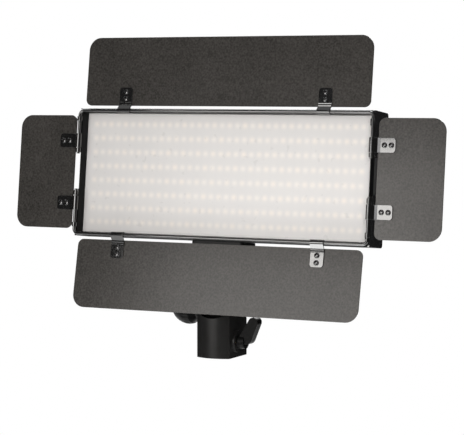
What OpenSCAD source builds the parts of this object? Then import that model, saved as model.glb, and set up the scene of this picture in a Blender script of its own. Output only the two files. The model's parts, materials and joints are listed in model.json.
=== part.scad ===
// LED panel light with four barn doors on a tilting 16 mm stand adapter.
// Frame: origin at the centre of the stand socket's mouth, +Z up, the light shines towards -Y.
// The head is drawn upright about the centre of its barn-door wires and is then leaned back.

/* [Pose] */
// Backward lean of the head at rest, degrees
head_lean = 6.5; // [0:0.5:15]
// Backward lean of the top door behind the face plane, degrees
top_back = 1.3; // [0:0.1:15]
// Forward lean of the bottom door in front of the face plane, degrees
bottom_forward = 5; // [4.2:0.1:30]
// Backward lean of the left door, degrees
left_back = 2.4; // [0:0.1:10]
// Forward lean of the right door, degrees
right_forward = 1.7; // [0:0.1:10]

/* [Light body] */
// Width of the body
body_w = 296; // [290:1:310]
// Height of the body
body_h = 119.8; // [119:0.1:121]
// Distance from the wires' centre plane back to the front lip
lip_y = 2.8; // [2.7:0.1:3.5]
// Distance from the wires' centre plane to the rear face
body_y = 32.6; // [32:0.1:34]
// Sheet thickness of the rear cover
cover_t = 1.6; // [1.4:0.1:2]

/* [LED array] */
// Columns of LEDs
led_cols = 36; // [24:2:36]
// Rows of LEDs
led_rows = 8; // [4:2:8]
// Spacing of the columns
led_dx = 7.78; // [7:0.01:7.9]
// Spacing of the rows
led_dz = 13.07; // [12:0.01:13.5]

/* [Barn doors] */
// Diameter of the hinge wires
wire_d = 3; // [2.8:0.1:3]
// Width of the top and bottom doors
wide_door_w = 289.5; // [280:0.5:292]
// Length of the top and bottom doors away from the hinge
wide_door_l = 64; // [55:1:66]
// Width of the side doors along the hinge
side_door_w = 106.6; // [100:0.2:108]
// Length of the side doors away from the hinge
side_door_l = 62.9; // [55:0.1:65]
// Sheet thickness of the doors
door_t = 1.2; // [1:0.1:1.4]
// Width of a hinge clip
clip_w = 13; // [11:0.5:15]

/* [Stand adapter] */
// Height of the tilt axis above the socket's mouth
tilt_z = 44; // [43:0.5:46]
// Radius of the socket for a 16 mm spigot
socket_r = 8.1; // [8.02:0.01:8.2]
// Depth of the socket
socket_depth = 27; // [24:0.5:28]
// Width of the adapter across its flat sides
adapter_w = 32.86; // [31:0.1:35]
// Radius of the tilt bolt
bolt_r = 4; // [3.8:0.1:4]

/* [Control box] */
// Width of the control box
box_w = 152; // [150:1:156]
// Height of the control box
box_h = 80; // [78:1:84]
// Depth of the control box
box_d = 20; // [19:0.5:22]

/* [Hidden] */

$fn = 48;
eps = 0.01;
gap = 0.05;

// Head: the tilt axis seen from the centre of the wires
tilt_y = 17.3;
tilt_drop = 120.5;

// Wires: rectangle through their centres
wire_r = wire_d / 2;
wire_w = body_w + 2;
wire_h = body_h - 4.3;
wire_bend_r = 4.3;
top_leg_end = 17;
bottom_leg_end = -16;

// Light body
half_w = body_w / 2;
half_h = body_h / 2;
cap_t = 1.6;
inner_w = half_w - cap_t - gap;
lip = 4.1;
side_lip = 0.9;
side_draft = 1.5;
tab_spot = 50;
tab_size = [3.2, 1.4, 6];
diffuser_y = 10.6;
diffuser_t = 2;
board_y = 16.8;
board_t = 1.6;
led_size = [2.8, 0.8, 3.5];
board_screw_r = 1.25;
board_screw_cols = [-14, -5, 5, 14];
board_screw_rows = [-2, 2];

// Brackets
bracket_t = 1.9;
bracket_front = 3;
bracket_chamfer = 4;
bracket_rear_r = 3;
hook_w = 4;
hook_wall = 0.9;
bracket_screw_r = 1.4;
bracket_screw_y = 22.5;
top_bracket_span = [18.5, half_h];
bottom_bracket_span = [-half_h, -14];
top_hooks = [50, 20.3];
bottom_hooks = [-19.6, -49.5];
top_bracket_screws = [30, 48];
bottom_bracket_screws = [-28, -46];

// Doors: the plates lie a little behind the wires they turn on
door_off = 3.3;
wide_gap = 4.8;
side_gap = 5;
outer_corner_r = 12;
inner_corner_r = 6;
clip_t = 1.1;
clip_bend = 7.3;
clip_end = 21.6;
clip_corner_r = 2.5;
clip_bore_r = wire_r + gap;
clip_at_wide = 101.5;
clip_at_side = 29.3;
clip_screw_at = [11.3, 17.8];
clip_screw_r = 1.25;
clip_head_r = 2.5;
clip_head_h = 1.3;

// Stand adapter
adapter_front = -18;
adapter_flat = -13.38;
adapter_back = 22.3;
adapter_rear_r = 1;
ear_r = 17;
shoulder_back = 28;
shoulder_front = 38;
slot_half = 8.4;
slot_r = 13.5;
slot_rear_z = tilt_z - 8.5;
scoop_r = 24;
scoop_z = tilt_z - 7.8;
scoop_half = 14.4;
scoop_back = -9;
lock_z = 14.7;
lock_boss_r = 10;
lock_boss_x = 19.4;
lock_screw_r = 3;
insert_r = 6;
hub_r = 13;
hub_half = 7.4;
neck_r = 8;
stud_r = 3.15;
wheel_r = 14;
wheel_z = [-83, -75];
foot_z = -73;
foot_w = 52.5;
foot_y = [4, 32.4];
foot_screw_x = 20;
foot_screw_y = 22.5;
foot_screw_r = 1.5;

// Tilt knob, along -X
knob_x = -17;
knob_neck_r = 10;
knob_neck_x = -22;
knob_r = 16;
knob_rim_x = -30;
knob_dome = 17.5;
knob_insert_r = 6.5;
knob_bore_x = -39;
bolt_end_x = -37;

// Control box
box_y = body_y + gap;
box_back = box_y + box_d;
box_wall = 2;
box_corner_r = 7;
box_screw_x = box_w / 2 - 7;
box_screw_z = box_h / 2 - 7;
plate_x = 50;
plate_w = 40;
plate_h = 70;
plate_t = 5;
plate_y = box_back + gap;
dial_x = 13;
dial_z = -2;
dial_r = 8.5;
dial_l = 11;
shaft_r = 3;
control_y = box_y + 9;
window_z = 25;
window_w = 40;
window_h = 22;
board_half = [64, 34];
jack_r = 2.85;
jack_rim_r = 3.6;
jack_depth = 9;
jack_y = box_y + 14.3;
jack_z = -22;
rocker_x = -12;
rocker_rest = 9;
rocker_axle = 3;
button_x = 13;
switch_z = -27;
button_r = 3.5;
latch_z = -29;

/* Helpers */

module on_head() {
    translate([0, 0, tilt_z]) rotate([-head_lean, 0, 0]) translate([0, -tilt_y, tilt_drop])
        children();
}

// Door frames: hinge wire along X, door running away from it along +Z, front towards -Y
module on_top_hinge() {
    on_head() translate([0, 0, wire_h / 2]) rotate([-top_back, 0, 0]) children();
}

module on_bottom_hinge() {
    on_head() translate([0, 0, -wire_h / 2]) rotate([-bottom_forward, 0, 0]) rotate([0, 180, 0])
        children();
}

module on_left_hinge() {
    on_head() translate([-wire_w / 2, 0, 0]) rotate([0, 0, -left_back]) rotate([0, -90, 0])
        children();
}

module on_right_hinge() {
    on_head() translate([wire_w / 2, 0, 0]) rotate([0, 0, -right_forward]) rotate([0, 90, 0])
        children();
}

// Cylinder from a to b along X, Y or Z
module x_rod(r, a, b) {
    translate([a, 0, 0]) rotate([0, 90, 0]) cylinder(r = r, h = b - a);
}

module y_rod(r, a, b) {
    translate([0, b, 0]) rotate([90, 0, 0]) cylinder(r = r, h = b - a);
}

module z_rod(r, a, b) {
    translate([0, 0, a]) cylinder(r = r, h = b - a);
}

// Outline in X and Z made solid from y = a to y = b
module y_plate(a, b) {
    translate([0, b, 0]) rotate([90, 0, 0]) linear_extrude(b - a) children();
}

// Outline in Y and Z made solid from x = a to x = b
module x_plate(a, b) {
    translate([a, 0, 0]) rotate([90, 0, 90]) linear_extrude(b - a) children();
}

module span_box(low, high) {
    translate(low) cube([for (i = [0:2]) high[i] - low[i]]);
}

// Rectangle with one radius at its lower corners and another at its upper corners
module tab_outline(w, h, low_r, high_r) {
    translate([-w / 2 + high_r, 0]) square([w - 2 * high_r, h]);
    translate([-w / 2, low_r]) square([w, h - low_r - high_r]);
    translate([-w / 2 + low_r, 0]) square([w - 2 * low_r, h - high_r]);
    for (s = [-1, 1]) {
        translate([s * (w / 2 - high_r), h - high_r]) circle(r = high_r);
        translate([s * (w / 2 - low_r), low_r]) circle(r = low_r);
    }
}

module round_outline(w, h, r) {
    translate([0, -h / 2]) tab_outline(w, h, r, r);
}

// Pan-head screw: head from y = 0 towards -Y, shank along +Y, cross recess in the head
module pan_screw(r, length, head_r, head_h) {
    difference() {
        union() {
            y_rod(r, -eps, length);
            y_rod(head_r, -head_h * 0.6, 0);
            y_rod(head_r * 0.8, -head_h, -head_h * 0.6 + eps);
        }
        for (a = [0, 90]) {
            rotate([0, a, 0]) span_box([-head_r * 0.6, -head_h - eps, -head_h * 0.22],
                                       [head_r * 0.6, -head_h * 0.4, head_h * 0.22]);
        }
    }
}

// Body of revolution along X from [x, r] points
module x_turned(points) {
    rotate([0, 90, 0]) rotate_extrude() polygon([for (p = points) [p[1], p[0]]]);
}

/* Stand adapter */

// Point where a line from p touches the ear's circle, side +1 or -1 along the circle
function ear_tangent(p, side) =
    let (a = atan2(p[1] - tilt_z, p[0]))
    let (d = norm([p[0], p[1] - tilt_z]))
    let (t = a + side * acos(ear_r / d))
    [ear_r * cos(t), tilt_z + ear_r * sin(t)];

module adapter_plan() {
    rear_y = adapter_back - adapter_rear_r;
    half = adapter_w / 2;
    sagitta = adapter_flat - adapter_front;
    bow_r = (half * half + sagitta * sagitta) / (2 * sagitta);
    intersection() {
        union() {
            translate([-half, adapter_front]) square([adapter_w, rear_y - adapter_front]);
            translate([-half + adapter_rear_r, 0])
                square([adapter_w - 2 * adapter_rear_r, adapter_back]);
            for (s = [-1, 1]) {
                translate([s * (half - adapter_rear_r), rear_y]) circle(r = adapter_rear_r);
            }
        }
        translate([0, adapter_front + bow_r]) circle(r = bow_r, $fn = 96);
    }
}

module adapter_side() {
    front_edge = [adapter_front - 1, shoulder_front];
    rear_edge = [adapter_back + 1, shoulder_back];
    polygon([
        [adapter_front - 1, 0], [adapter_back + 1, 0], rear_edge, ear_tangent(rear_edge, 1),
        [0, tilt_z + 1], ear_tangent(front_edge, -1), front_edge
    ]);
    translate([0, tilt_z]) circle(r = ear_r, $fn = 96);
}

module stand_socket() {
    half = adapter_w / 2;
    color("#1c1c1e") difference() {
        union() {
            intersection() {
                linear_extrude(tilt_z + ear_r + 1) adapter_plan();
                x_plate(-half, half) adapter_side();
            }
            translate([0, 0, lock_z]) x_rod(lock_boss_r, half - 1, lock_boss_x);
        }
        z_rod(socket_r, -1, socket_depth);
        translate([0, 0, tilt_z]) {
            x_rod(slot_r, -slot_half, slot_half);
            x_rod(bolt_r + gap, -half - 1, half + 1);
            x_rod(7.2, half - 4, half + 1);
        }
        span_box([-slot_half, -slot_r, tilt_z], [slot_half, adapter_back + 1, tilt_z + ear_r + 2]);
        span_box([-slot_half, 0, slot_rear_z], [slot_half, adapter_back + 1, tilt_z + 1]);
        intersection() {
            translate([0, 0, scoop_z + scoop_r]) y_rod(scoop_r, adapter_front - 1, scoop_back);
            span_box([-scoop_half, adapter_front - 1, scoop_z - 1],
                     [scoop_half, scoop_back, tilt_z + ear_r + 2]);
        }
        translate([0, 0, lock_z]) {
            x_rod(lock_screw_r + 0.2, 0, lock_boss_x + 1);
            x_rod(insert_r, 9.2, lock_boss_x + 1);
        }
    }
}

module tilt_bolt() {
    half = adapter_w / 2;
    color("silver") translate([0, 0, tilt_z]) {
        x_rod(bolt_r, bolt_end_x, half - 3.9);
        x_rod(7, half - 3.95, half - 0.3);
    }
}

module friction_washers() {
    color("#333333") translate([0, 0, tilt_z]) {
        for (s = [-1, 1]) {
            difference() {
                translate([s * (hub_half + 0.5), 0, 0]) x_rod(12, -0.4, 0.4);
                x_rod(bolt_r + gap, -slot_half, slot_half);
            }
        }
    }
}

module lock_insert() {
    color("goldenrod") translate([0, 0, lock_z]) difference() {
        x_rod(insert_r, 9.3, lock_boss_x - 0.1);
        x_rod(lock_screw_r + gap, 9, lock_boss_x);
    }
}

module stand_lock_screw() {
    color("silver") translate([0, 0, lock_z]) x_rod(lock_screw_r, 8.4, 24);
}

module stand_lock_lever() {
    lever_x = lock_boss_x + 0.3;
    arm_low = [28.3, 18.6];
    arm_high = [35.6, 33];
    arm_low_r = 6;
    arm_high_r = 4.7;
    arm_t = 9;
    lean = atan2(arm_high[1] - arm_low[1], arm_high[0] - arm_low[0]);
    reach = norm(arm_high - arm_low);
    turn = asin((arm_low_r - arm_high_r) / reach);
    sides = [for (s = [-1, 1]) lean + s * (90 - turn)];
    color("#1c1c1e") difference() {
        union() {
            translate([0, 0, lock_z]) x_rod(6.5, lever_x, 26.5);
            y_plate(-arm_t / 2, arm_t / 2) {
                polygon([
                    arm_low + arm_low_r * [cos(sides[0]), sin(sides[0])],
                    arm_high + arm_high_r * [cos(sides[0]), sin(sides[0])],
                    arm_high + arm_high_r * [cos(sides[1]), sin(sides[1])],
                    arm_low + arm_low_r * [cos(sides[1]), sin(sides[1])]
                ]);
                translate(arm_low) circle(r = arm_low_r);
                translate(arm_high) circle(r = arm_high_r);
            }
        }
        translate([0, 0, lock_z]) x_rod(lock_screw_r, lever_x - 1, 24);
    }
}

module tilt_knob() {
    dome = [for (a = [0:7.5:90]) [knob_rim_x - knob_dome * sin(a), knob_r * cos(a)]];
    color("#1c1c1e") translate([0, 0, tilt_z]) difference() {
        x_turned(concat([[knob_x, 0], [knob_x, knob_neck_r], [knob_neck_x, knob_neck_r],
                         [knob_rim_x + 3.5, knob_r - 0.6]], dome));
        x_rod(knob_insert_r, knob_bore_x, knob_x + 1);
        for (a = [0:30:330]) {
            rotate([a, 0, 0]) translate([0, 0, knob_r + 1.6]) x_rod(2.4, knob_rim_x - 3, knob_neck_x);
        }
    }
}

module tilt_knob_insert() {
    color("goldenrod") translate([0, 0, tilt_z]) difference() {
        x_rod(knob_insert_r, knob_bore_x, knob_x - 0.1);
        x_rod(bolt_r + gap, knob_bore_x + 1.5, knob_x);
    }
}

module tilt_hub() {
    color("#1c1c1e") on_head() translate([0, tilt_y, 0]) difference() {
        union() {
            translate([0, 0, -tilt_drop]) x_rod(hub_r, -hub_half, hub_half);
            z_rod(neck_r, -tilt_drop, wheel_z[0] - 1);
            z_rod(12, wheel_z[0] - 4, wheel_z[0] - 1);
        }
        translate([0, 0, -tilt_drop]) x_rod(bolt_r + gap, -hub_half - 1, hub_half + 1);
        z_rod(stud_r, -102, 0);
    }
}

module mount_stud() {
    color("silver") on_head() translate([0, tilt_y, 0]) z_rod(stud_r, -102, foot_z + 9);
}

module lock_wheel() {
    color("#1c1c1e") on_head() translate([0, tilt_y, 0]) difference() {
        z_rod(wheel_r, wheel_z[0], wheel_z[1]);
        z_rod(stud_r + gap, wheel_z[0] - 1, wheel_z[1] + 1);
        for (a = [0:15:345]) {
            rotate([0, 0, a]) translate([wheel_r + 0.5, 0, 0]) z_rod(1.1, wheel_z[0] - 1, wheel_z[1] + 1);
        }
    }
}

module mount_pad() {
    color("#2a2a2a") on_head() translate([0, tilt_y, 0]) difference() {
        z_rod(13.5, wheel_z[1], foot_z - gap);
        z_rod(stud_r + 0.3, wheel_z[1] - 1, foot_z + 1);
    }
}

module mount_foot() {
    top = -half_h - gap;
    color("#26262a") on_head() difference() {
        translate([0, 0, foot_z]) linear_extrude(top - foot_z)
            translate([0, foot_y[0]]) tab_outline(foot_w, foot_y[1] - foot_y[0], 3, 3);
        translate([0, tilt_y, 0]) z_rod(stud_r + gap, foot_z - 1, foot_z + 11);
        for (s = [-1, 1]) {
            translate([s * foot_screw_x, foot_screw_y, 0]) {
                z_rod(foot_screw_r + 0.1, foot_z - 1, top + 1);
                z_rod(3.1, foot_z - 1, foot_z + 5);
            }
        }
    }
}

module foot_screws() {
    color("silver") on_head() for (s = [-1, 1]) {
        translate([s * foot_screw_x, foot_screw_y, foot_z + 4.9]) rotate([90, 0, 0])
            pan_screw(foot_screw_r, 13, 2.9, 2);
    }
}

/* Light body */

// Rim around the diffuser: its side walls taper inwards, and the right one carries two retaining tabs
module front_frame() {
    back = diffuser_y - gap;
    front_x = half_w - side_lip;
    back_x = front_x - side_draft;
    open_h = body_h - 2 * lip;
    color("#2b2b2e") on_head() {
        difference() {
            y_plate(lip_y, back) round_outline(body_w, body_h, 1);
            translate([0, 0, -open_h / 2]) linear_extrude(open_h) polygon([
                [-front_x, lip_y - eps], [front_x, lip_y - eps],
                [back_x, back + eps], [-back_x, back + eps]
            ]);
        }
        for (t = [-1, 1]) {
            translate([back_x + 0.3 - tab_size[0] / 2, back - tab_size[1] / 2, t * tab_spot])
                cube(tab_size, center = true);
        }
    }
}

module cover_profile(inset) {
    r = 4 - inset;
    deep = body_y - inset;
    tall = half_h - inset;
    translate([0, -tall]) square([deep - r, 2 * tall]);
    translate([0, -tall + r]) square([deep, 2 * tall - 2 * r]);
    for (s = [-1, 1]) {
        translate([deep - r, s * (tall - r)]) circle(r = r);
    }
}

function board_screw_spots() =
    [for (i = board_screw_cols, j = board_screw_rows) [i * led_dx, j * led_dz]];

function box_screw_spots() =
    [for (s = [-1, 1], t = [-1, 1]) [s * box_screw_x, t * box_screw_z]];

module back_cover() {
    wall_y = body_y - cover_t;
    color("#2b2b2e") on_head() difference() {
        union() {
            difference() {
                x_plate(-inner_w, inner_w) cover_profile(0);
                x_plate(-inner_w - 1, inner_w + 1) cover_profile(cover_t);
                span_box([-half_w, -1, -half_h - 1], [half_w, diffuser_y, half_h + 1]);
            }
            for (p = board_screw_spots()) {
                translate([p[0], 0, p[1]]) y_rod(3, board_y + board_t + gap, wall_y + eps);
            }
            for (s = [-1, 1]) {
                translate([s * foot_screw_x, foot_screw_y, 0])
                    z_rod(3.2, -half_h + cover_t - eps, -half_h + 11);
            }
        }
        for (p = board_screw_spots()) {
            translate([p[0], 0, p[1]]) y_rod(board_screw_r, board_y, wall_y - 0.5);
        }
        for (p = box_screw_spots()) {
            translate([p[0], 0, p[1]]) y_rod(1.3, wall_y - 1, body_y + 1);
        }
        for (s = [-1, 1]) {
            translate([s * foot_screw_x, foot_screw_y, 0])
                z_rod(foot_screw_r, -half_h - 1, -half_h + 12);
            for (i = [0:7]) {
                translate([s * (90 + 6 * i), 0, 0])
                    span_box([-1.5, wall_y - 1, -30], [1.5, body_y + 1, 30]);
            }
        }
        span_box([-8, wall_y - 1, -14], [8, body_y + 1, -6]);
    }
}

module side_cap(s) {
    boss_x = half_w - cap_t;
    mirror([s < 0 ? 1 : 0, 0, 0]) difference() {
        union() {
            x_plate(boss_x, half_w) intersection() {
                cover_profile(0);
                translate([diffuser_y, -half_h]) square([body_y, body_h]);
            }
            for (z = concat(top_bracket_screws, bottom_bracket_screws)) {
                translate([0, bracket_screw_y, z]) x_rod(3.4, boss_x - 8, boss_x + eps);
            }
        }
        for (z = concat(top_bracket_screws, bottom_bracket_screws)) {
            translate([0, bracket_screw_y, z]) x_rod(bracket_screw_r, boss_x - 7, half_w + 1);
        }
    }
}

module left_cap() {
    color("#6b6b6e") on_head() side_cap(-1);
}

module right_cap() {
    color("#6b6b6e") on_head() side_cap(1);
}

module diffuser() {
    half_x = inner_w - 0.4;
    half_z = half_h - cover_t - 0.2;
    color("#f3f0ea") on_head()
        span_box([-half_x, diffuser_y, -half_z], [half_x, diffuser_y + diffuser_t, half_z]);
}

module led_board() {
    half_x = inner_w - 0.8;
    half_z = half_h - cover_t - 0.6;
    color("white") on_head() difference() {
        span_box([-half_x, board_y, -half_z], [half_x, board_y + board_t, half_z]);
        for (p = board_screw_spots()) {
            translate([p[0], 0, p[1]]) y_rod(board_screw_r + 0.1, board_y - 1, board_y + board_t + 1);
        }
    }
}

// LEDs whose column and row add up to an even or an odd number
module led_group(parity) {
    for (i = [0:led_cols - 1], j = [0:led_rows - 1]) {
        if ((i + j) % 2 == parity) {
            translate([(i - (led_cols - 1) / 2) * led_dx, board_y - led_size[1],
                       (j - (led_rows - 1) / 2) * led_dz])
                translate([-led_size[0] / 2, 0, -led_size[2] / 2]) cube(led_size);
        }
    }
}

module warm_leds() {
    color("#ffb46b") on_head() led_group(0);
}

module cool_leds() {
    color("#fff3c4") on_head() led_group(1);
}

module board_screws() {
    color("silver") on_head() for (p = board_screw_spots()) {
        translate([p[0], board_y, p[1]]) pan_screw(board_screw_r, 7, 2.2, 0.8);
    }
}

/* Barn-door wires and their brackets */

// U-shaped wire: along X at the top, bent down at both ends to z = end
module u_wire(end) {
    arm_x = wire_w / 2;
    bar_z = wire_h / 2;
    translate([0, 0, bar_z]) x_rod(wire_r, -arm_x + wire_bend_r, arm_x - wire_bend_r);
    for (s = [-1, 1]) {
        translate([s * arm_x, 0, 0]) z_rod(wire_r, end, bar_z - wire_bend_r);
        translate([s * (arm_x - wire_bend_r), 0, bar_z - wire_bend_r])
            mirror([s < 0 ? 1 : 0, 0, 0]) rotate([90, 0, 0])
                rotate_extrude(angle = 90) translate([wire_bend_r, 0]) circle(r = wire_r);
    }
}

module top_wire() {
    color("#202022") on_head() u_wire(top_leg_end);
}

module bottom_wire() {
    color("#202022") on_head() mirror([0, 0, 1]) u_wire(-bottom_leg_end);
}

// Bracket on the right side; span is its [low, high] z, free_end is the end away from the corner
module corner_bracket(span, hooks, screws, free_end) {
    x = half_w + gap;
    rear_r = bracket_rear_r;
    high = span[1];
    low = span[0];
    corner_z = free_end == "low" ? high : low;
    free_z = free_end == "low" ? low : high;
    dir = free_end == "low" ? -1 : 1;
    difference() {
        union() {
            x_plate(x, x + bracket_t) {
                polygon([
                    [bracket_front, corner_z],
                    [bracket_front, free_z - dir * bracket_chamfer],
                    [bracket_front + bracket_chamfer, free_z],
                    [body_y - bracket_chamfer, free_z],
                    [body_y, free_z - dir * bracket_chamfer],
                    [body_y, corner_z + dir * rear_r],
                    [body_y - rear_r, corner_z]
                ]);
                translate([body_y - rear_r, corner_z + dir * rear_r]) circle(r = rear_r);
            }
            for (z = hooks) {
                translate([wire_w / 2, 0, 0])
                    z_rod(wire_r + hook_wall, z - hook_w / 2, z + hook_w / 2);
                span_box([x + 0.5, 1, z - hook_w / 2], [x + bracket_t, bracket_front + 1, z + hook_w / 2]);
            }
        }
        translate([wire_w / 2, 0, 0]) z_rod(wire_r, low - 1, high + 1);
        for (z = screws) {
            translate([0, bracket_screw_y, z]) x_rod(bracket_screw_r + 0.1, half_w - 1, half_w + 5);
        }
    }
}

module top_right_bracket() {
    color("#202022") on_head()
        corner_bracket(top_bracket_span, top_hooks, top_bracket_screws, "low");
}

module top_left_bracket() {
    color("#202022") on_head() mirror([1, 0, 0])
        corner_bracket(top_bracket_span, top_hooks, top_bracket_screws, "low");
}

module bottom_right_bracket() {
    color("#202022") on_head()
        corner_bracket(bottom_bracket_span, bottom_hooks, bottom_bracket_screws, "high");
}

module bottom_left_bracket() {
    color("#202022") on_head() mirror([1, 0, 0])
        corner_bracket(bottom_bracket_span, bottom_hooks, bottom_bracket_screws, "high");
}

module bracket_screws() {
    color("silver") on_head() for (s = [-1, 1], z = concat(top_bracket_screws, bottom_bracket_screws)) {
        translate([s * (half_w + gap + bracket_t), bracket_screw_y, z]) rotate([0, 0, s * 90])
            pan_screw(bracket_screw_r, 8, 2.6, 1.3);
    }
}

/* Barn doors */

module door_plate(w, l, hinge_gap, clip_at) {
    difference() {
        translate([0, 0, hinge_gap]) y_plate(door_off - door_t / 2, door_off + door_t / 2)
            tab_outline(w, l, inner_corner_r, outer_corner_r);
        for (s = [-1, 1], r = clip_screw_at) {
            translate([s * clip_at, 0, r]) y_rod(clip_screw_r, 0, door_off + 2);
        }
    }
}

// Spring clip: a pad on the door's front, a strap sloping forward and a curl around the wire
module hinge_clip() {
    pad_y = door_off - door_t / 2 - clip_t;
    strap_y = pad_y + clip_t / 2;
    strap_r = clip_bore_r + clip_t / 2;
    curl_r = clip_bore_r + clip_t;
    slope = atan2(strap_y, clip_bend) + asin(strap_r / norm([clip_bend, strap_y]));
    front = [-cos(slope), sin(slope)];
    difference() {
        union() {
            y_plate(pad_y, pad_y + clip_t) {
                translate([-clip_w / 2, clip_bend]) square([clip_w, clip_end - clip_corner_r - clip_bend]);
                translate([-clip_w / 2 + clip_corner_r, clip_bend])
                    square([clip_w - 2 * clip_corner_r, clip_end - clip_bend]);
                for (s = [-1, 1]) {
                    translate([s * (clip_w / 2 - clip_corner_r), clip_end - clip_corner_r])
                        circle(r = clip_corner_r);
                }
            }
            x_plate(-clip_w / 2, clip_w / 2) polygon([
                curl_r * front,
                clip_bore_r * front,
                [pad_y + clip_t, (clip_bore_r + (pad_y + clip_t) * cos(slope)) / sin(slope)],
                [pad_y + clip_t, clip_bend + 1],
                [pad_y, clip_bend + 1],
                [pad_y, (curl_r + pad_y * cos(slope)) / sin(slope)]
            ]);
            x_rod(curl_r, -clip_w / 2, clip_w / 2);
        }
        x_rod(clip_bore_r, -clip_w, clip_w);
        for (r = clip_screw_at) {
            translate([0, 0, r]) y_rod(clip_screw_r, 0, door_off);
        }
    }
}

module door_clips(clip_at) {
    for (s = [-1, 1]) {
        translate([s * clip_at, 0, 0]) hinge_clip();
    }
}

module door_screws(clip_at) {
    for (s = [-1, 1], r = clip_screw_at) {
        translate([s * clip_at, door_off - door_t / 2 - clip_t, r])
            pan_screw(clip_screw_r, clip_t + door_t + 0.6, clip_head_r, clip_head_h);
    }
}

module top_door() {
    color("#3a3a3c") on_top_hinge() door_plate(wide_door_w, wide_door_l, wide_gap, clip_at_wide);
}

module top_door_clips() {
    color("#18181a") on_top_hinge() door_clips(clip_at_wide);
}

module top_door_screws() {
    color("silver") on_top_hinge() door_screws(clip_at_wide);
}

module bottom_door() {
    color("#3a3a3c") on_bottom_hinge() door_plate(wide_door_w, wide_door_l, wide_gap, clip_at_wide);
}

module bottom_door_clips() {
    color("#18181a") on_bottom_hinge() door_clips(clip_at_wide);
}

module bottom_door_screws() {
    color("silver") on_bottom_hinge() door_screws(clip_at_wide);
}

module left_door() {
    color("#3a3a3c") on_left_hinge() door_plate(side_door_w, side_door_l, side_gap, clip_at_side);
}

module left_door_clips() {
    color("#18181a") on_left_hinge() door_clips(clip_at_side);
}

module left_door_screws() {
    color("silver") on_left_hinge() door_screws(clip_at_side);
}

module right_door() {
    color("#3a3a3c") on_right_hinge() door_plate(side_door_w, side_door_l, side_gap, clip_at_side);
}

module right_door_clips() {
    color("#18181a") on_right_hinge() door_clips(clip_at_side);
}

module right_door_screws() {
    color("silver") on_right_hinge() door_screws(clip_at_side);
}

/* Control box on the back */

module control_box() {
    color("#232326") on_head() difference() {
        y_plate(box_y, box_back) round_outline(box_w, box_h, box_corner_r);
        difference() {
            y_plate(box_y - 1, box_back - box_wall)
                round_outline(box_w - 2 * box_wall, box_h - 2 * box_wall, box_corner_r - box_wall);
            for (p = box_screw_spots()) {
                translate([p[0], 0, p[1]]) y_rod(4, box_y, box_back);
            }
        }
        for (p = box_screw_spots()) {
            translate([p[0], 0, p[1]]) {
                y_rod(1.4, box_y - 1, box_back + 1);
                y_rod(2.9, box_back - 3, box_back + 1);
            }
        }
        for (s = [-1, 1]) {
            translate([s * dial_x, 0, dial_z]) y_rod(shaft_r + 0.3, box_back - 5, box_back + 1);
            translate([s * plate_x, 0, 0])
                span_box([-6, box_back - 5, -12], [6, box_back + 1, -4]);
        }
        translate([button_x, 0, switch_z]) y_rod(button_r + 0.1, box_back - 5, box_back + 1);
        translate([rocker_x, 0, switch_z]) span_box([-6.5, box_back - 5, -5], [6.5, box_back + 1, 5]);
        translate([0, 0, window_z]) {
            span_box([-window_w / 2, box_back - 1.2, -window_h / 2],
                     [window_w / 2, box_back + 1, window_h / 2]);
            span_box([-window_w / 2 + 3, box_back - 5, -window_h / 2 + 3],
                     [window_w / 2 - 3, box_back, window_h / 2 - 3]);
        }
        translate([0, jack_y, jack_z]) x_rod(jack_rim_r + gap, box_w / 2 - 5, box_w / 2 + 1);
    }
}

module control_board() {
    color("#1f5a38") on_head()
        span_box([-board_half[0], control_y, -board_half[1]],
                 [board_half[0], control_y + board_t, board_half[1]]);
}

module encoders() {
    color("silver") on_head() for (s = [-1, 1]) {
        translate([s * dial_x, 0, dial_z]) difference() {
            span_box([-6, control_y + 1.65, -6], [6, control_y + 7, 6]);
            y_rod(shaft_r + gap, control_y + 2.6, control_y + 8);
        }
    }
}

module control_dial(s) {
    on_head() translate([s * dial_x, 0, dial_z]) difference() {
        union() {
            y_rod(shaft_r, control_y + 2.7, box_back + 1);
            y_rod(dial_r, box_back + 0.4, box_back + dial_l);
        }
        for (a = [0:20:340]) {
            rotate([0, a, 0]) translate([dial_r + 0.5, 0, 0]) y_rod(1, box_back + 2, box_back + dial_l + 1);
        }
        span_box([-0.5, box_back + dial_l - 0.5, 2], [0.5, box_back + dial_l + 1, dial_r]);
    }
}

module brightness_knob() {
    color("#1a1a1c") control_dial(-1);
}

module colour_knob() {
    color("#1a1a1c") control_dial(1);
}

module box_screws() {
    color("silver") on_head() for (p = box_screw_spots()) {
        translate([p[0], box_back - 2.9, p[1]]) rotate([0, 0, 180])
            pan_screw(1.3, box_d - 1.4, 2.7, 1.6);
    }
}

module display_window() {
    color("#0c0f14") on_head() translate([0, 0, window_z])
        span_box([-window_w / 2 + 0.1, box_back - 1.15, -window_h / 2 + 0.1],
                 [window_w / 2 - 0.1, box_back, window_h / 2 - 0.1]);
}

module display_module() {
    color("#3d4a44") on_head() translate([0, 0, window_z])
        span_box([-16.9, box_back - 4.8, -7.9], [16.9, box_back - 1.3, 7.9]);
}

module power_jack() {
    right = box_w / 2;
    color("#101012") on_head() translate([0, jack_y, jack_z]) difference() {
        union() {
            x_rod(jack_rim_r, right - 4, right + 0.6);
            span_box([right - 14, -jack_rim_r, -5], [right - 2.3, jack_rim_r, 5]);
        }
        x_rod(jack_r, right + 0.6 - jack_depth, right + 1);
    }
}

module power_rocker() {
    color("#8b1d1d") on_head() translate([rocker_x, box_back - rocker_axle, switch_z])
        rotate([rocker_rest, 0, 0]) difference() {
            union() {
                intersection() {
                    x_rod(6.2, -6, 6);
                    span_box([-6, 1.1, -4.4], [6, 7, 4.4]);
                }
                x_rod(1.2, -6.4, 6.4);
                x_rod(2.4, -6, 6);
            }
            translate([0, 12.4, 0]) x_rod(7, -7, 7);
        }
}

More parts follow.
